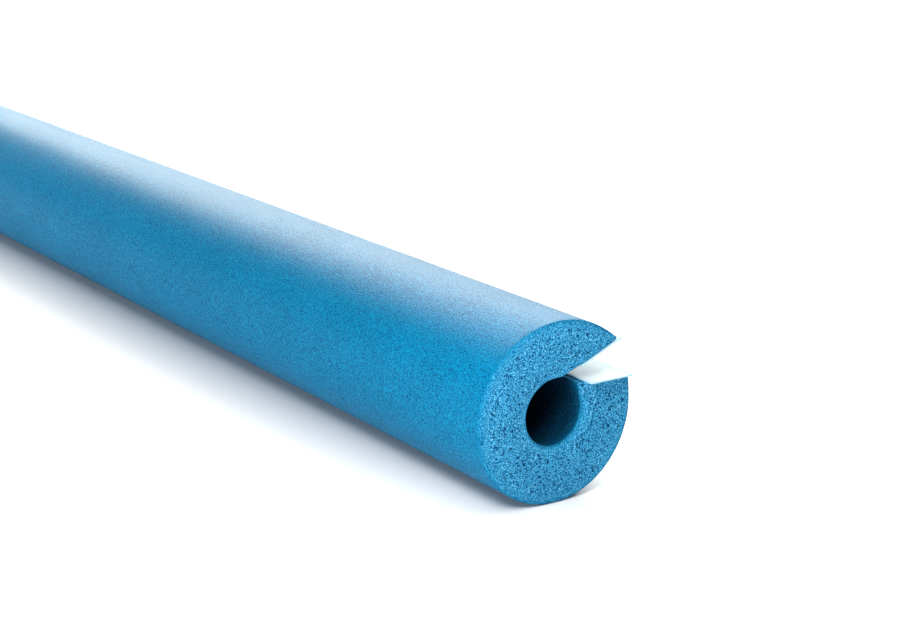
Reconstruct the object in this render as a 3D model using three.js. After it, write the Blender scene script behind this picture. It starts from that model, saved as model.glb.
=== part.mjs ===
// Pipe insulation lagging: one length of closed-cell foam sleeve, slit along its length and sprung open,
// with a strip of release liner on each face of the slit.
// Millimetres, +Z up. The sleeve runs along Y, its front end is at -Y and the slit opens towards +X.
import * as THREE from "three";

// Sleeve
const LENGTH = 1000; // sold in one metre lengths
const OUTER_DIAMETER = 78;
const BORE_DIAMETER = 28.5; // takes a 28 mm pipe
const BORE_SHIFT = 0.6; // the opened bore sits this far to the left and up

// Outline. Angles are in degrees, measured from +X round towards +Z.
const FACET_ANGLE = 12; // one flat of the round outline
const BOTTOM = -90; // the direction of the flat that it lies on
const BENT_STEPS = 10; // flats on the bent part of the outside
const BORE_STEPS = 24;
const BENT_BORE_STEPS = 6;

// Slit, sprung open
const LIP_HEIGHT = 12; // level face of the lower lip, above the sleeve's axis
const BORE_END_ANGLE = 20; // from here the bore runs straight up to the lip
const BEND_START = 135; // from here to the flap's tip the wall is bent outwards
const BEND_OUTER_EASE = 3; // the bent outside's radius is larger than the round one by this
const BEND_BORE_EASE = 4.25; // and the bent bore's by this
const FLAP_TIP_ANGLE = 46;
const FLAP_ROOT_ANGLE = 90;

// Release liners
const LINER_WIDTH = 22.4;
const LINER_THICKNESS = 0.4;
const LINER_GAP = 0.3;
const LIP_LINER_MARGIN = 1; // bare foam between the liner and the lip's outer corner
const LIP_LINER_TAB = 4.4; // stands this far out of the front end
const FLAP_LINER_OVERHANG = 1; // past the flap's tip
const FLAP_LINER_TAB = 0.6;

const outerRadius = OUTER_DIAMETER / 2;
const boreRadius = BORE_DIAMETER / 2;
const bentOuterRadius = outerRadius + BEND_OUTER_EASE;
const bentBoreRadius = boreRadius + BEND_BORE_EASE;
const radians = THREE.MathUtils.degToRad;

function onCircle(centre, radius, degrees) {
  const a = radians(degrees);
  return new THREE.Vector2(centre.x + radius * Math.cos(a), centre.y + radius * Math.sin(a));
}

function arc(centre, radius, from, to, steps) {
  const points = [];
  for (let i = 0; i <= steps; i += 1) {
    points.push(onCircle(centre, radius, from + ((to - from) * i) / steps));
  }
  return points;
}

// Centres. Each bent arc leaves its round arc in one tangent line.
const axis = new THREE.Vector2(0, 0);
const boreAxis = new THREE.Vector2(-BORE_SHIFT, BORE_SHIFT);
const bentOuterAxis = onCircle(axis, -BEND_OUTER_EASE, BEND_START);
const bentBoreAxis = onCircle(boreAxis, -BEND_BORE_EASE, BEND_START);

// Corners of the slit
const lipOuter = new THREE.Vector2(Math.sqrt(outerRadius ** 2 - LIP_HEIGHT ** 2), LIP_HEIGHT);
const boreEnd = onCircle(boreAxis, boreRadius, BORE_END_ANGLE);
const boreEndRun = (LIP_HEIGHT - boreEnd.y) * Math.tan(radians(BORE_END_ANGLE));
const lipInner = new THREE.Vector2(boreEnd.x - boreEndRun, LIP_HEIGHT);
const flapTip = onCircle(bentOuterAxis, bentOuterRadius, FLAP_TIP_ANGLE);
const flapRoot = onCircle(bentBoreAxis, bentBoreRadius, FLAP_ROOT_ANGLE);
const flapDown = flapRoot.clone().sub(flapTip).normalize();
const flapOpenSide = new THREE.Vector2(-flapDown.y, flapDown.x);

// From the lip, down and round the back to where the bend starts, with a flat at the very bottom.
function roundOutside() {
  const points = [lipOuter];
  const half = FACET_ANGLE / 2;
  const lipAngle = THREE.MathUtils.radToDeg(lipOuter.angle());
  const lowestToLip = lipAngle - half / 2 - (BOTTOM + half);
  const first = BOTTOM + half + FACET_ANGLE * Math.floor(lowestToLip / FACET_ANGLE);
  for (let a = first; a > BEND_START - 360 + half / 2; a -= FACET_ANGLE) {
    points.push(onCircle(axis, outerRadius, a));
  }
  return points;
}

function sleeveSection() {
  return [
    ...roundOutside(),
    ...arc(bentOuterAxis, bentOuterRadius, BEND_START, FLAP_TIP_ANGLE, BENT_STEPS),
    ...arc(bentBoreAxis, bentBoreRadius, FLAP_ROOT_ANGLE, BEND_START, BENT_BORE_STEPS),
    ...arc(boreAxis, boreRadius, BEND_START, BORE_END_ANGLE + 360, BORE_STEPS).slice(1),
    lipInner,
  ];
}

// A strip from its start point along a direction, with its thickness on the left of that direction.
function stripSection(start, along) {
  const side = new THREE.Vector2(-along.y, along.x).multiplyScalar(LINER_THICKNESS);
  const end = start.clone().addScaledVector(along, LINER_WIDTH);
  return [start, end, end.clone().add(side), start.clone().add(side)];
}

// The lowest flat of the sleeve lies on the ground, and the overall length is centred on the origin.
const axisHeight = outerRadius * Math.cos(radians(FACET_ANGLE / 2));
const frontEnd = (LIP_LINER_TAB - LENGTH) / 2;
const rearEnd = frontEnd + LENGTH;

// A section drawn in X and Z that runs from the rear end forward and stands out of the front end by its tab.
function piece(name, section, tab, look) {
  const geometry = new THREE.ExtrudeGeometry(new THREE.Shape(section), {
    depth: LENGTH + tab,
    steps: 1,
    bevelEnabled: false,
  });
  const mesh = new THREE.Mesh(geometry, new THREE.MeshStandardMaterial(look));
  mesh.name = name;
  mesh.rotation.x = Math.PI / 2;
  mesh.position.set(0, rearEnd, axisHeight);
  return mesh;
}

function foamSleeve() {
  return piece("foam_sleeve", sleeveSection(), 0, { color: 0x1e8ccc, roughness: 0.6, metalness: 0 });
}

const LINER_LOOK = { color: 0xe9ecf2, roughness: 0.45, metalness: 0 };

function lipReleaseLiner() {
  const start = new THREE.Vector2(lipOuter.x - LIP_LINER_MARGIN - LINER_WIDTH, LIP_HEIGHT + LINER_GAP);
  const section = stripSection(start, new THREE.Vector2(1, 0));
  return piece("lip_release_liner", section, LIP_LINER_TAB, LINER_LOOK);
}

function flapReleaseLiner() {
  const start = flapTip
    .clone()
    .addScaledVector(flapDown, -FLAP_LINER_OVERHANG)
    .addScaledVector(flapOpenSide, LINER_GAP);
  return piece("flap_release_liner", stripSection(start, flapDown), FLAP_LINER_TAB, LINER_LOOK);
}

const lagging = new THREE.Group();
lagging.name = "pipe_insulation_lagging";
lagging.add(foamSleeve(), lipReleaseLiner(), flapReleaseLiner());

export default lagging;
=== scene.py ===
import math

import bpy
import numpy as np
from mathutils import Euler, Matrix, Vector, noise


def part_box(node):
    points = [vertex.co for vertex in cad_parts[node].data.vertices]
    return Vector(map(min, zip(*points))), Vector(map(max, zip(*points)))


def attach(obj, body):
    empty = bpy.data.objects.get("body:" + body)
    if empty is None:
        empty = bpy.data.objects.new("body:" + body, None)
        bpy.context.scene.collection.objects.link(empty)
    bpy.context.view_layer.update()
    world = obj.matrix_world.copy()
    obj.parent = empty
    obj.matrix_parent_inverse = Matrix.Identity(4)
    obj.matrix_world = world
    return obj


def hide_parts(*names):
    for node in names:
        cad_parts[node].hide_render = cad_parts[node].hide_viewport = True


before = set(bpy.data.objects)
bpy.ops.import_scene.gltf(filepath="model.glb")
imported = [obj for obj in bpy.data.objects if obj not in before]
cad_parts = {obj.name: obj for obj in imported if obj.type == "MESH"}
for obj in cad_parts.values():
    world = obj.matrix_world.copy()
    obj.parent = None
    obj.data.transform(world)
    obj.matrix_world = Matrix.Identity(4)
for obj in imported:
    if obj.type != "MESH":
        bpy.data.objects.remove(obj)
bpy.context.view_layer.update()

MM = 0.001

# Sleeve section, as in the solid, whose round outside has flats of FACET_ANGLE. Angles are in degrees,
# measured from +X round towards +Z.
OUTER_RADIUS = 39 * MM
BORE_RADIUS = 14.25 * MM
BORE_SHIFT = 0.6 * MM
FACET_ANGLE = 12
LIP_HEIGHT = 12 * MM
BORE_END_ANGLE = 20
BEND_START = 135
BEND_OUTER_EASE = 3 * MM
BEND_BORE_EASE = 4.25 * MM
FLAP_TIP_ANGLE = 46
FLAP_ROOT_ANGLE = 90

# Release liners. The paper is thinner than its solid and lies on the foam.
LINER_WIDTH = 22.4 * MM
LINER_PAPER = 0.3 * MM
LINER_LIFT = 0.16 * MM
LINER_BORDER = 1.6 * MM
LIP_LINER_MARGIN = 1 * MM
LIP_LINER_TAB = 4.4 * MM
FLAP_LINER_OVERHANG = 1 * MM
FLAP_LINER_TAB = 0.6 * MM

# Mesh density of the sleeve: round the section, across the wall, and how much coarser the body and rear are.
ROUND_STEPS = 720
WALL_STEPS = 68
BODY_COARSER = 4
REAR_COARSER = 2
# Points on the plain and on the bent arc of a path, before they are spread evenly.
OUTSIDE_SAMPLES = (900, 300)
BORE_SAMPLES = (600, 120)
# Rings on half of the body, the even part of their spacing, and how fast the rest widens towards the middle.
BODY_RINGS = 24
EVEN_SPACING = 0.12
SPACING_POWER = 2.2

# Softness of an end face's edge at the skin, the bore and the slit. It fades between them over RIM_FADE.
SKIN_RIM = 1.7 * MM
BORE_RIM = 2.2 * MM
SLIT_RIM = 0.45 * MM
RIM_FADE = 9 * MM
RIM_STEPS = 6
END_DOME = 0.8 * MM
# Share of the skin's look on the outer edge of a sawn end face, and how far out across the wall it starts.
EDGE_SKIN = 0.3
EDGE_SKIN_START = 0.88
# The same share where the bore's edge has turned inwards, and on the knife-cut faces of the slit.
BORE_EDGE_SKIN = 0.9
SLIT_SKIN = 0.85
# The section's four corners are softened over this length, by this pull in each of this many rounds.
CORNER_SOFTNESS = 0.7 * MM
CORNER_PULL = 0.5
CORNER_ROUNDS = 12

# How far into the bore, from each end, its colour is painted paler as painted light at the bore's mouth.
BORE_MOUTH_LIGHT_DEPTH = 7 * MM

# Cells that the cut opened in the end faces. Widths are shares of the cell grid's spacing.
CELL_SIZE = 0.85 * MM
CELL_DEPTH = 0.42 * MM
CELL_CHANCE = 0.75
CELL_GRID = 140
CELL_WIDTH_LEAST = 0.32
CELL_WIDTH_SPREAD = 0.28
# How far a cell's middle stays from its square's sides, as a share of the square.
CELL_MARGIN = 0.05
# A second, sparser layer of cells is shallower and bigger, by this many times.
BIG_CELL_SIZE = 1.7
BIG_CELL_DEPTH = 0.75
BIG_CELL_CHANCE = 0.22
# Cells and waves fade in over this many steps from the end face's border.
BORDER_STEPS = 5
FACE_WAVE = 0.18 * MM
FACE_WAVE_SIZE = 14 * MM

# Waves of the release paper, as (height, size). The ripple is longer across the strip than along it.
PAPER_WAVE = (0.07 * MM, 18 * MM)
PAPER_RIPPLE = (0.05 * MM, 5 * MM)
RIPPLE_ACROSS = 0.2
PAPER_EDGE_WAVE = (0.12 * MM, 40 * MM)
# How far the paper's long edges lift, how sharply, and its least gap to the foam.
PAPER_EDGE_LIFT = 0.10 * MM
PAPER_EDGE_POWER = 6
PAPER_LEAST_LIFT = 0.05 * MM
# Mesh density of the paper, and the spacing of its rows along the strip.
PAPER_STEPS_ACROSS = 16
PAPER_STEPS_ALONG = 260
PAPER_EVEN_SPACING = 0.25
PAPER_SPACING_POWER = 1.8

# One seed for the relief of each end face and for the waves of each paper strip.
FRONT_SEED = 11
REAR_SEED = 23
LIP_SEED = 3
FLAP_SEED = 9

# Fineness of the materials' noise and cells, in repeats for each metre.
SKIN_GRAIN = 1500
SKIN_PEBBLES = 1400
SKIN_MOTTLE = 28
CUT_GRAIN = 1750
CUT_CELLS = 1600
PAPER_FIBRE = 420
PAPER_CLOUD = 60

# Specular level of the skin and of the bore's skin.
SKIN_GLOSS = 0.026
BORE_GLOSS = 0.05

# The grain's range from dark to light: on the skin, and softer elsewhere.
SKIN_SPREAD = (0.41, 0.59)
SOFT_SPREAD = (0.38, 0.62)

# Dark and light of the foam's speckle: on the skin; in the bore, darkened there as painted shade; and near
# the bore's ends, paler there as painted light where light enters its mouth.
SKIN_SPECKLE = ((0.0002, 0.076, 0.176), (0.0006, 0.209, 0.402))
BORE_SHADE_SPECKLE = ((0.001, 0.012, 0.034), (0.004, 0.044, 0.09))
MOUTH_LIGHT_SPECKLE = ((0.001, 0.06, 0.15), (0.006, 0.165, 0.33))

# Dark and light of the paper's fibres, and its border.
PAPER_WHITE = ((0.57, 0.645, 0.69), (0.61, 0.685, 0.73))
PAPER_BORDER = (0.38, 0.62, 0.74)
WHITE = (1.0, 1.0, 1.0)

# Floor, with half its width in metres, and the light from all round.
FLOOR_GREY = (0.9, 0.9, 0.9, 1)
FLOOR_HALF = 8
STUDIO_GLOW = 0.17

# Camera, measured from the centre of the front end in outer radii, with its turn from +Y and its tilt down.
CAMERA_OFFSET = Vector((-11.326, -14.830, 6.323))
CAMERA_TURN = 33.86
CAMERA_TILT = 15.74
CAMERA_LENS = 74.29

SLEEVE_LOW, SLEEVE_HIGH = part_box("foam_sleeve")
FRONT = SLEEVE_LOW.y
REAR = SLEEVE_HIGH.y
AXIS_HEIGHT = SLEEVE_LOW.z + OUTER_RADIUS * math.cos(math.radians(FACET_ANGLE / 2))


# Section

def on_circle(centre, radius, degrees):
    """The point of a circle at an angle, or its points at several."""
    a = np.radians(degrees)
    return np.stack([centre[0] + radius * np.cos(a), centre[1] + radius * np.sin(a)], axis=-1)


AXIS = np.zeros(2)
BORE_AXIS = np.array([-BORE_SHIFT, BORE_SHIFT])
BENT_OUTER_AXIS = on_circle(AXIS, -BEND_OUTER_EASE, BEND_START)
BENT_BORE_AXIS = on_circle(BORE_AXIS, -BEND_BORE_EASE, BEND_START)
LIP_OUTER = np.array([math.sqrt(OUTER_RADIUS ** 2 - LIP_HEIGHT ** 2), LIP_HEIGHT])
BORE_END = on_circle(BORE_AXIS, BORE_RADIUS, BORE_END_ANGLE)
LIP_INNER = np.array([
    BORE_END[0] - (LIP_HEIGHT - BORE_END[1]) * math.tan(math.radians(BORE_END_ANGLE)),
    LIP_HEIGHT,
])
FLAP_TIP = on_circle(BENT_OUTER_AXIS, OUTER_RADIUS + BEND_OUTER_EASE, FLAP_TIP_ANGLE)
FLAP_ROOT = on_circle(BENT_BORE_AXIS, BORE_RADIUS + BEND_BORE_EASE, FLAP_ROOT_ANGLE)


def resample(path, steps):
    """The path's points spread evenly along it."""
    run = np.concatenate([[0], np.cumsum(np.linalg.norm(np.diff(path, axis=0), axis=1))])
    at = np.linspace(0, run[-1], steps + 1)
    return np.stack([np.interp(at, run, path[:, i]) for i in (0, 1)], axis=-1)


def outside_path():
    """From the lip's outer corner, round the back, to the flap's tip."""
    lip_angle = math.degrees(math.atan2(LIP_OUTER[1], LIP_OUTER[0]))
    plain_angles = np.linspace(lip_angle, BEND_START - 360, OUTSIDE_SAMPLES[0])
    bent_angles = np.linspace(BEND_START, FLAP_TIP_ANGLE, OUTSIDE_SAMPLES[1])
    plain = on_circle(AXIS, OUTER_RADIUS, plain_angles)
    bent = on_circle(BENT_OUTER_AXIS, OUTER_RADIUS + BEND_OUTER_EASE, bent_angles)
    path = np.concatenate([plain, bent[1:]])
    # It rests on the floor.
    path[:, 1] = np.maximum(path[:, 1], SLEEVE_LOW.z - AXIS_HEIGHT)
    return path


def bore_path():
    """From the lip's inner corner, round the bore, to the flap's inner corner."""
    plain_angles = np.linspace(BORE_END_ANGLE, BEND_START - 360, BORE_SAMPLES[0])
    bent_angles = np.linspace(BEND_START, FLAP_ROOT_ANGLE, BORE_SAMPLES[1])
    plain = on_circle(BORE_AXIS, BORE_RADIUS, plain_angles)
    bent = on_circle(BENT_BORE_AXIS, BORE_RADIUS + BEND_BORE_EASE, bent_angles)
    return np.concatenate([LIP_INNER[None], plain, bent[1:]])


def section_loop():
    """The outline as one clockwise loop from the lip's outer corner, with its four corners softened."""
    outside = resample(outside_path(), ROUND_STEPS)
    flap = resample(np.array([FLAP_TIP, FLAP_ROOT]), WALL_STEPS)
    bore = resample(bore_path(), ROUND_STEPS)[::-1]
    lip = resample(np.array([LIP_INNER, LIP_OUTER]), WALL_STEPS)
    loop = np.concatenate([outside, flap[1:], bore[1:], lip[1:-1]])
    corners = np.array([LIP_OUTER, FLAP_TIP, FLAP_ROOT, LIP_INNER])
    away = np.min(np.linalg.norm(loop[:, None] - corners[None], axis=2), axis=1)
    pull = np.exp(-(away / CORNER_SOFTNESS) ** 2)[:, None] * CORNER_PULL
    for _ in range(CORNER_ROUNDS):
        middle = (np.roll(loop, 1, axis=0) + np.roll(loop, -1, axis=0)) / 2
        loop = loop + (middle - loop) * pull
    return loop


def inset(loop, distance):
    """The loop moved inwards, square to itself."""
    along = np.roll(loop, -1, axis=0) - np.roll(loop, 1, axis=0)
    outward = np.stack([-along[:, 1], along[:, 0]], axis=-1)
    outward /= np.linalg.norm(outward, axis=1)[:, None]
    return loop - outward * np.reshape(distance, (-1, 1))


def wall_patch(loop, round_steps, wall_steps):
    """A grid over the inside of the loop, between the bore and the outside, blended from its four sides."""
    a = round_steps
    b = round_steps + wall_steps
    c = 2 * round_steps + wall_steps
    outside = loop[: a + 1]
    flap = loop[a: b + 1][::-1]
    bore = loop[b: c + 1][::-1]
    lip = np.concatenate([loop[c:], loop[:1]])
    s = np.linspace(0, 1, round_steps + 1)[:, None, None]
    t = np.linspace(0, 1, wall_steps + 1)[None, :, None]
    across = bore[:, None] * (1 - t) + outside[:, None] * t
    round_it = lip[None] * (1 - s) + flap[None] * s
    ends = (bore[0] * (1 - t) + outside[0] * t) * (1 - s) + (bore[-1] * (1 - t) + outside[-1] * t) * s
    return across + round_it - ends


# Foam surface

def smooth_noise(x, y, size, seed):
    """Soft waves of about the given size, between -1 and 1."""
    values = [noise.noise(Vector((px / size, py / size, seed))) for px, py in zip(x.ravel(), y.ravel())]
    return np.reshape(values, x.shape)


def cut_cells(x, z, seed, size, chance):
    """How deep each point of a cut face lies in an opened cell, from 0 to 1. Each cell is a small bowl."""
    rng = np.random.default_rng(seed)
    cells = CELL_GRID
    centre = rng.random((cells, cells, 2)) * (1 - 2 * CELL_MARGIN) + CELL_MARGIN
    depth = rng.random((cells, cells)) ** 2 * (rng.random((cells, cells)) < chance)
    width = CELL_WIDTH_LEAST + CELL_WIDTH_SPREAD * rng.random((cells, cells))
    u = x / size + cells / 2
    v = z / size + cells / 2
    deepest = np.zeros_like(x)
    for du in (-1, 0, 1):
        for dv in (-1, 0, 1):
            i = np.clip(np.floor(u).astype(int) + du, 0, cells - 1)
            j = np.clip(np.floor(v).astype(int) + dv, 0, cells - 1)
            away = np.hypot(i + centre[i, j, 0] - u, j + centre[i, j, 1] - v) / width[i, j]
            deepest = np.maximum(deepest, depth[i, j] * np.clip(1 - away ** 2, 0, 1))
    return deepest


class Builder:
    """Gathers vertices, faces and each face's material for one mesh, with one named number at each vertex."""

    def __init__(self, value_name):
        self.value_name = value_name
        self.points = []
        self.values = []
        self.faces = []
        self.materials = []
        self.count = 0

    def add(self, points, values):
        """Adds points of shape (..., 3) and their values, and returns their numbers in the same layout."""
        flat = points.reshape(-1, 3)
        numbers = np.arange(self.count, self.count + len(flat)).reshape(points.shape[:-1])
        self.points.append(flat)
        self.values.append(values.ravel())
        self.count += len(flat)
        return numbers

    def quads(self, grid, material):
        """Fills a grid of numbers with faces."""
        corners = np.stack([grid[:-1, :-1], grid[1:, :-1], grid[1:, 1:], grid[:-1, 1:]], axis=-1)
        self.faces.extend(corners.reshape(-1, 4).tolist())
        self.materials.extend([material] * (corners.size // 4))

    def band(self, fine, coarse, which):
        """Joins two loops of numbers. The first has a whole number of points for each of the second's."""
        ratio = len(fine) // len(coarse)
        for i in range(len(coarse)):
            here = coarse[i]
            following = coarse[(i + 1) % len(coarse)]
            for k in range(ratio):
                a = fine[i * ratio + k]
                b = fine[(i * ratio + k + 1) % len(fine)]
                corner = here if 2 * k < ratio else following
                if ratio == 1:
                    self.faces.append([a, b, following, here])
                else:
                    self.faces.append([a, b, corner])
                self.materials.append(which[i * ratio + k])
            if ratio > 1:
                middle = fine[i * ratio + (ratio + 1) // 2]
                self.faces.append([middle, following, here])
                self.materials.append(which[i * ratio])

    def mesh(self, name):
        mesh = bpy.data.meshes.new(name)
        points = np.concatenate(self.points)
        mesh.from_pydata(points.tolist(), [], self.faces)
        mesh.polygons.foreach_set("material_index", self.materials)
        mesh.polygons.foreach_set("use_smooth", [True] * len(self.faces))
        attribute = mesh.attributes.new(self.value_name, "FLOAT", "POINT")
        attribute.data.foreach_set("value", np.concatenate(self.values).astype(np.float32))
        mesh.update()
        return mesh


# Material slots of the sleeve.
SKIN, CUT, BORE = 0, 1, 2


def place(section, y):
    """Section points set at y in the row frame."""
    y = np.broadcast_to(y, section.shape[:-1])
    return np.stack([section[..., 0], y, section[..., 1] + AXIS_HEIGHT], axis=-1)


def dome_fall(across):
    """How far the domed end face falls back: most at the bore, where across is 0, and the outside, at 1."""
    return END_DOME * (2 * across - 1) ** 2


def border_fade(steps, coarser):
    """From 0 at both ends of a row of steps to 1 inside."""
    at = np.arange(steps + 1)
    return np.clip(np.minimum(at, at[::-1]) * coarser / BORDER_STEPS, 0, 1)


def end_patch(loop, y, into, coarser, seed):
    """The points and relief of a cut end face. into is +1 where the foam lies towards +Y.

    The relief is the depth of an opened cell above 0, and the share of skin in the look below 0.
    """
    rounds = ROUND_STEPS // coarser
    walls = WALL_STEPS // coarser
    grid = wall_patch(loop, rounds, walls)
    x, z = grid[..., 0], grid[..., 1]
    edge = border_fade(walls, coarser)[None] * border_fade(rounds, coarser)[:, None]
    pits = cut_cells(x, z, seed, CELL_SIZE, CELL_CHANCE)
    big_pits = cut_cells(x, z, seed + 1, CELL_SIZE * BIG_CELL_SIZE, BIG_CELL_CHANCE)
    pits = np.maximum(pits, BIG_CELL_DEPTH * big_pits) * edge
    wave = smooth_noise(x, z, FACE_WAVE_SIZE, seed) * FACE_WAVE * edge
    across = np.linspace(0, 1, walls + 1)
    fall = dome_fall(across)[None]
    skin = EDGE_SKIN * np.clip((across - EDGE_SKIN_START) / (1 - EDGE_SKIN_START), 0, 1) ** 2
    return place(grid, y + into * (pits * CELL_DEPTH + wave + fall)), pits - skin[None]


def body_stations():
    """Distances along the sleeve: close together near the ends and wide apart between them."""
    margin = SKIN_RIM + END_DOME
    length = REAR - FRONT - 2 * margin
    t = np.linspace(0, 1, BODY_RINGS + 1)
    near = (EVEN_SPACING * t + (1 - EVEN_SPACING) * t ** SPACING_POWER) / 2
    whole = np.concatenate([near, 1 - near[::-1][1:]])
    return FRONT + margin + whole * length


def rim_radii(loop):
    """The softness of the end face's edge at each point of the loop: least along the slit."""
    a = ROUND_STEPS
    b = a + WALL_STEPS
    c = b + ROUND_STEPS
    corners = loop[[0, a, b, c]]
    away = np.min(np.linalg.norm(loop[:, None] - corners[None], axis=2), axis=1)
    t = np.clip(away / RIM_FADE, 0, 1)
    full = np.full(len(loop), SLIT_RIM)
    full[:a] = SKIN_RIM
    full[b:c] = BORE_RIM
    return SLIT_RIM + (full - SLIT_RIM) * t * t * (3 - 2 * t)


def make_sleeve():
    """The foam as one closed mesh: two sawn ends with their rims, and rings along the body."""
    loop = section_loop()
    radii = rim_radii(loop)
    a = ROUND_STEPS
    b = a + WALL_STEPS
    c = b + ROUND_STEPS
    which = np.full(len(loop), SKIN)
    which[a:] = CUT
    which[b:c] = BORE
    cut_all_round = np.full(len(loop), CUT)
    outside = which == SKIN
    # The relief on the sides is minus each point's share of the skin's look.
    full_look = -1.0 * outside - BORE_EDGE_SKIN * (which == BORE) - SLIT_SKIN * (which == CUT)
    fall = np.full(len(loop), END_DOME)
    fall[a:b] = dome_fall(np.linspace(1, 0, b - a, endpoint=False))
    fall[c:] = dome_fall(np.linspace(0, 1, len(loop) - c, endpoint=False))
    build = Builder("relief")

    def ring(y, cut_in, step, turned=1.0):
        """The outline at y. turned goes from 0 on the end face's edge to 1 on the sides."""
        points = inset(loop, cut_in)[::step]
        look = full_look * turned - EDGE_SKIN * (1 - turned) * outside
        return build.add(place(points, y), look[::step])

    def rim(end, into, step):
        """Rings from the cut face's edge round to the skin and the bore."""
        rings = []
        for k in range(1, RIM_STEPS + 1):
            angle = math.pi / 2 * k / RIM_STEPS
            y = end + into * (fall + radii * (1 - math.cos(angle)))[::step]
            rings.append(ring(y, radii * (1 - math.sin(angle)), step, k / RIM_STEPS))
        return rings

    def cap(end, into, step, seed):
        """The sawn face at one end. Returns its border in the same order as the loop."""
        edge = inset(loop, radii)[::step]
        points, relief = end_patch(edge, end, into, step, seed)
        grid = build.add(points, relief)
        build.quads(grid if into > 0 else grid[:, ::-1], CUT)
        return np.concatenate([
            grid[:-1, -1],
            grid[-1, ::-1][:-1],
            grid[::-1, 0][:-1],
            grid[0, :-1],
        ])

    front = [cap(FRONT, 1, 1, FRONT_SEED)] + rim(FRONT, 1, 1)
    for first, second in zip(front[:-1], front[1:]):
        build.band(first, second, cut_all_round)

    stations = body_stations()
    body = [ring(y, 0, BODY_COARSER) for y in stations[1:-1]]
    build.band(front[-1], body[0], which)
    for first, second in zip(body[:-1], body[1:]):
        build.band(first, second, which[::BODY_COARSER])

    rear = [cap(REAR, -1, REAR_COARSER, REAR_SEED)] + rim(REAR, -1, REAR_COARSER)
    for first, second in zip(rear[:-1], rear[1:]):
        build.band(second, first, cut_all_round[::REAR_COARSER])
    turned = Builder("relief")
    turned.band(rear[-1], body[-1], which[::REAR_COARSER])
    build.faces.extend(face[::-1] for face in turned.faces)
    build.materials.extend(turned.materials)
    return build.mesh("lagging_foam")


# Release liners

def make_strip(name, start, along, lift_side, tab, seed):
    """A paper strip on a slit face: a closed thin sheet with slight waves, a little lifted at its edges."""
    w = np.linspace(0, 1, PAPER_STEPS_ACROSS + 1)[None]
    run = np.linspace(0, 1, PAPER_STEPS_ALONG + 1)[:, None]
    spread = PAPER_EVEN_SPACING * run + (1 - PAPER_EVEN_SPACING) * run ** PAPER_SPACING_POWER
    y = FRONT - tab + (REAR - FRONT + tab) * spread
    w, y = np.broadcast_arrays(w, y)
    wave, wave_size = PAPER_WAVE
    ripple, ripple_size = PAPER_RIPPLE
    edge_wave, edge_wave_size = PAPER_EDGE_WAVE
    lift = LINER_LIFT + wave * smooth_noise(w * LINER_WIDTH, y, wave_size, seed)
    lift = lift + PAPER_EDGE_LIFT * np.abs(2 * w - 1) ** PAPER_EDGE_POWER
    lift = lift + ripple * smooth_noise(w * LINER_WIDTH * RIPPLE_ACROSS, y, ripple_size, seed + 3)
    lift = np.maximum(lift, PAPER_LEAST_LIFT)
    across = w * LINER_WIDTH + edge_wave * smooth_noise(y, w * MM, edge_wave_size, seed + 5)
    along = np.array(along)
    side = np.array(lift_side)

    def sheet(height):
        section = np.array(start) + along * across[..., None] + side * height[..., None]
        return place(section, y)

    build = Builder("border")
    border = np.clip(1 - np.minimum(w, 1 - w) * LINER_WIDTH / LINER_BORDER, 0, 1)
    border = np.maximum(border, np.clip(1 - (y - FRONT + tab) / LINER_BORDER, 0, 1))
    low = build.add(sheet(lift), border)
    high = build.add(sheet(lift + LINER_PAPER), border)
    flip = 1 if along[0] * side[1] - along[1] * side[0] > 0 else -1
    build.quads(low[:, ::flip], 0)
    build.quads(high[:, ::-flip], 0)
    edges = (
        (low[0], high[0]),
        (high[-1], low[-1]),
        (high[:, 0], low[:, 0]),
        (low[:, -1], high[:, -1]),
    )
    for first, second in edges:
        build.quads(np.stack([first, second])[:, ::-flip], 0)
    return build.mesh(name)


# Materials

def new_material(name):
    """A material with its tree, its shader and the object's own coordinates."""
    material = bpy.data.materials.new(name)
    material.use_nodes = True
    tree = material.node_tree
    shader = tree.nodes["Principled BSDF"]
    coordinates = tree.nodes.new("ShaderNodeTexCoord")
    return material, tree, shader, coordinates.outputs["Object"]


def add_noise(tree, where, scale, detail, roughness=0.5):
    node = tree.nodes.new("ShaderNodeTexNoise")
    node.inputs["Scale"].default_value = scale
    node.inputs["Detail"].default_value = detail
    node.inputs["Roughness"].default_value = roughness
    tree.links.new(where, node.inputs["Vector"])
    return node.outputs["Fac"]


def add_cells(tree, where, scale):
    """The distance from each cell's middle."""
    node = tree.nodes.new("ShaderNodeTexVoronoi")
    node.inputs["Scale"].default_value = scale
    tree.links.new(where, node.inputs["Vector"])
    return node.outputs["Distance"]


def add_ramp(tree, value, stops):
    """A colour ramp. stops are (position, colour), with one number for grey or red, green and blue."""
    node = tree.nodes.new("ShaderNodeValToRGB")
    elements = node.color_ramp.elements
    while len(elements) < len(stops):
        elements.new(0.5)
    for element, (position, colour) in zip(elements, stops):
        element.position = position
        rgb = (colour,) * 3 if isinstance(colour, (int, float)) else colour
        element.color = (*rgb, 1)
    tree.links.new(value, node.inputs["Fac"])
    return node.outputs["Color"]


def add_mix(tree, kind, factor, a, b):
    """Mixes two colours. factor, a and b are numbers, colours or sockets."""
    node = tree.nodes.new("ShaderNodeMix")
    node.data_type = "RGBA"
    node.blend_type = kind
    for socket, value in ((node.inputs[0], factor), (node.inputs[6], a), (node.inputs[7], b)):
        if isinstance(value, bpy.types.NodeSocket):
            tree.links.new(value, socket)
        elif isinstance(value, tuple):
            socket.default_value = (*value, 1)
        else:
            socket.default_value = value
    return node.outputs[2]


def add_math(tree, kind, value, number=0.0):
    """A sum on a socket's value. number is the second value, where the kind has one."""
    node = tree.nodes.new("ShaderNodeMath")
    node.operation = kind
    tree.links.new(value, node.inputs[0])
    node.inputs[1].default_value = number
    return node.outputs[0]


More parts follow.
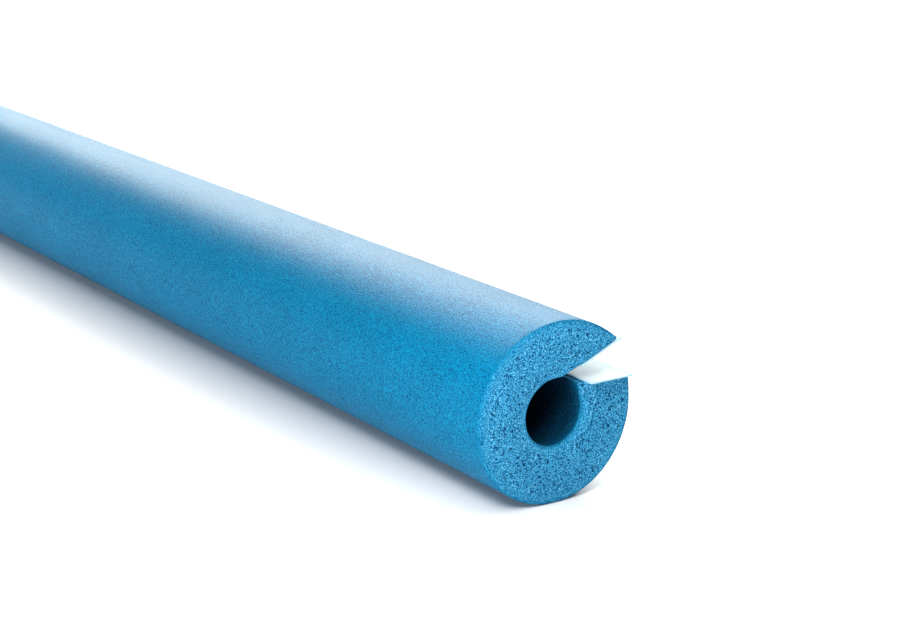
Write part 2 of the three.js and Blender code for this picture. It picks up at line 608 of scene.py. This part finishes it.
def add_bump(tree, height, strength, distance):
    node = tree.nodes.new("ShaderNodeBump")
    node.inputs["Strength"].default_value = strength
    node.inputs["Distance"].default_value = distance
    tree.links.new(height, node.inputs["Height"])
    return node.outputs["Normal"]


def near_ends(tree, where, depth):
    """From 1 at the front end, and past the rear one, to 0 at this depth inside."""
    split = tree.nodes.new("ShaderNodeSeparateXYZ")
    tree.links.new(where, split.inputs[0])
    from_middle = add_math(tree, "ABSOLUTE", split.outputs["Y"])
    return add_ramp(tree, from_middle, [(abs(FRONT) - depth, 0.0), (abs(FRONT), 1.0)])


def add_speckle(tree, grain, spread, colours):
    """The grain as a speckle between two colours. spread is the grain's range from dark to light."""
    return add_ramp(tree, grain, list(zip(spread, colours)))


def foam_skin(name, colours, gloss, mouth_light=None):
    """Extruded foam skin: satin and finely pebbled, with a faint mottle. gloss is its specular level. The
    last argument, where given, is painted light: a paler speckle near the ends.
    """
    material, tree, shader, where = new_material(name)
    grain = add_noise(tree, where, SKIN_GRAIN, 2.0, 0.6)
    mottle = add_noise(tree, where, SKIN_MOTTLE, 2.0)
    speckle = add_speckle(tree, grain, SKIN_SPREAD, colours)
    if mouth_light is not None:
        pale = add_speckle(tree, grain, SOFT_SPREAD, mouth_light)
        # Painted light: the speckle turns paler towards each end of the bore.
        speckle = add_mix(tree, "MIX", near_ends(tree, where, BORE_MOUTH_LIGHT_DEPTH), speckle, pale)
    patches = add_ramp(tree, mottle, [(0.35, 0.92), (0.65, 1.0)])
    colour = add_mix(tree, "MULTIPLY", 1.0, speckle, patches)
    tree.links.new(colour, shader.inputs["Base Color"])
    shader.inputs["Specular IOR Level"].default_value = gloss
    tree.links.new(add_ramp(tree, grain, [(0.3, 0.45), (0.7, 0.30)]), shader.inputs["Roughness"])
    pebbles = add_ramp(tree, add_noise(tree, where, SKIN_PEBBLES, 2.0, 0.6), [(0.42, 0.0), (0.78, 1.0)])
    tree.links.new(add_bump(tree, pebbles, 0.8, 0.12 * MM), shader.inputs["Normal"])
    return material


def skin_material():
    return foam_skin("foam_skin", SKIN_SPECKLE, SKIN_GLOSS)


def bore_material():
    """The bore's skin is darkened as painted shade, and painted paler near the ends as painted light at its
    mouth.
    """
    return foam_skin("foam_bore", BORE_SHADE_SPECKLE, BORE_GLOSS, MOUTH_LIGHT_SPECKLE)


def cut_material():
    """Cut foam: pale blue cell walls round opened cells that are darkened as painted shade, with a share of
    the skin's look.
    """
    material, tree, shader, where = new_material("foam_cut")
    relief = tree.nodes.new("ShaderNodeAttribute")
    relief.attribute_name = "relief"
    grain = add_noise(tree, where, CUT_GRAIN, 2.0, 0.6)
    walls = add_ramp(tree, grain, [
        (0.38, (0.001, 0.105, 0.28)),
        (0.58, (0.058, 0.385, 0.65)),
        (0.68, (0.20, 0.58, 0.82)),
    ])
    cells = add_cells(tree, where, CUT_CELLS)
    # Painted shade: each texture cell is darker towards its middle; the same ramp is also the bump's height.
    bowl_height_and_shade = add_ramp(tree, cells, [(0.12, (0.12, 0.3, 0.42)), (0.42, WHITE)])
    colour = add_mix(tree, "MULTIPLY", 0.9, walls, bowl_height_and_shade)
    # Painted shade: the deeper a point lies in an opened cell of the relief, the darker its colour.
    shade = add_ramp(tree, relief.outputs["Fac"], [(0.05, WHITE), (0.5, (0.03, 0.14, 0.24))])
    colour = add_mix(tree, "MULTIPLY", 1.0, colour, shade)
    skin = add_speckle(tree, grain, SOFT_SPREAD, SKIN_SPECKLE)
    share = add_math(tree, "MULTIPLY", relief.outputs["Fac"], -1.0)
    colour = add_mix(tree, "MIX", share, colour, skin)
    tree.links.new(colour, shader.inputs["Base Color"])
    shader.inputs["Specular IOR Level"].default_value = 0.05
    shader.inputs["Roughness"].default_value = 0.8
    height = add_mix(tree, "MULTIPLY", 1.0, bowl_height_and_shade, grain)
    tree.links.new(add_bump(tree, height, 0.8, 0.3 * MM), shader.inputs["Normal"])
    return material


def liner_material():
    """Smooth white release paper with a faint fibre, slightly bluer along its borders."""
    material, tree, shader, where = new_material("release_paper")
    fibre = add_noise(tree, where, PAPER_FIBRE, 4.0, 0.7)
    cloud = add_noise(tree, where, PAPER_CLOUD, 2.0)
    colour = add_speckle(tree, fibre, (0.3, 0.7), PAPER_WHITE)
    tint = add_ramp(tree, cloud, [(0.35, 0.96), (0.65, 1.0)])
    colour = add_mix(tree, "MULTIPLY", 1.0, colour, tint)
    edge = tree.nodes.new("ShaderNodeAttribute")
    edge.attribute_name = "border"
    rim = add_ramp(tree, edge.outputs["Fac"], [(0.1, 0.0), (0.6, 1.0)])
    tree.links.new(add_mix(tree, "MIX", rim, colour, PAPER_BORDER), shader.inputs["Base Color"])
    shader.inputs["Specular IOR Level"].default_value = 0.02
    shader.inputs["Roughness"].default_value = 0.6
    tree.links.new(add_bump(tree, fibre, 0.15, 0.05 * MM), shader.inputs["Normal"])
    return material


def floor_material():
    material, _, shader, _ = new_material("studio_floor")
    shader.inputs["Base Color"].default_value = FLOOR_GREY
    shader.inputs["Roughness"].default_value = 0.9
    return material


# Scene

def add_piece(name, mesh, materials, node):
    """Puts a mesh in the scene in place of its solid node."""
    piece = bpy.data.objects.new(name, mesh)
    bpy.context.scene.collection.objects.link(piece)
    for material in materials:
        mesh.materials.append(material)
    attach(piece, "root")
    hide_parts(node)
    return piece


def add_pieces():
    looks = [skin_material(), cut_material(), bore_material()]
    foam = add_piece("lagging_foam", make_sleeve(), looks, "foam_sleeve")
    paper = liner_material()
    lip_start = LIP_OUTER - np.array([LIP_LINER_MARGIN + LINER_WIDTH, 0])
    lip = make_strip("lip_liner", lip_start, (1, 0), (0, 1), LIP_LINER_TAB, LIP_SEED)
    add_piece("lip_liner", lip, [paper], "lip_release_liner")
    down = (FLAP_ROOT - FLAP_TIP) / np.linalg.norm(FLAP_ROOT - FLAP_TIP)
    flap_start = FLAP_TIP - down * FLAP_LINER_OVERHANG
    flap = make_strip("flap_liner", flap_start, down, (-down[1], down[0]), FLAP_LINER_TAB, FLAP_SEED)
    add_piece("flap_liner", flap, [paper], "flap_release_liner")


def add_floor():
    mesh = bpy.data.meshes.new("floor")
    corners = [(x * FLOOR_HALF, y * FLOOR_HALF, 0) for x, y in ((-1, -1), (1, -1), (1, 1), (-1, 1))]
    mesh.from_pydata(corners, [], [(0, 1, 2, 3)])
    mesh.materials.append(floor_material())
    floor = bpy.data.objects.new("floor", mesh)
    bpy.context.scene.collection.objects.link(floor)


def add_area_light(name, place_at, look_at, size, power, colour=WHITE):
    """A rectangular light that the camera doesn't see. size is its width and height."""
    data = bpy.data.lights.new(name, "AREA")
    data.shape = "RECTANGLE"
    data.size, data.size_y = size
    data.energy = power
    data.color = colour
    light = bpy.data.objects.new(name, data)
    light.location = place_at
    aim = Vector(look_at) - Vector(place_at)
    light.rotation_euler = aim.to_track_quat("-Z", "Y").to_euler()
    light.visible_camera = False
    bpy.context.scene.collection.objects.link(light)


def add_lights():
    world = bpy.data.worlds.new("studio")
    world.use_nodes = True
    world.node_tree.nodes["Background"].inputs["Color"].default_value = (1, 1, 1, 1)
    world.node_tree.nodes["Background"].inputs["Strength"].default_value = STUDIO_GLOW
    bpy.context.scene.world = world
    add_area_light("overhead", (-0.9, -0.9, 6.0), (-0.9, -0.9, 0), (7.8, 7.8), 380)
    add_area_light("strip", (1.5, 2.6, 1.65), (0, -0.2, 0.05), (2.6, 1.1), 235, (1.0, 0.99, 0.91))
    add_area_light("backdrop", (2.0, 3.2, 0.6), (2.0, 0, 0.6), (5.0, 1.2), 40)
    add_area_light("low_left", (-0.9, -0.1, 0.13), (0, -0.1, 0.03), (2.2, 0.22), 8)
    add_area_light("front_left", (-0.15, -0.61, 0.19), (0, -0.498, 0.04), (0.08, 0.08), 0.47)


def add_camera():
    data = bpy.data.cameras.new("camera")
    data.lens = CAMERA_LENS
    camera = bpy.data.objects.new("camera", data)
    end_centre = Vector((0, FRONT, AXIS_HEIGHT))
    camera.location = end_centre + CAMERA_OFFSET * OUTER_RADIUS
    camera.rotation_euler = Euler((math.radians(90 - CAMERA_TILT), 0, math.radians(-CAMERA_TURN)))
    bpy.context.scene.collection.objects.link(camera)
    bpy.context.scene.camera = camera


def write_sizes():
    bpy.context.view_layer.update()


add_camera()
add_pieces()
add_floor()
add_lights()
bpy.context.scene.view_settings.view_transform = "Standard"
write_sizes()
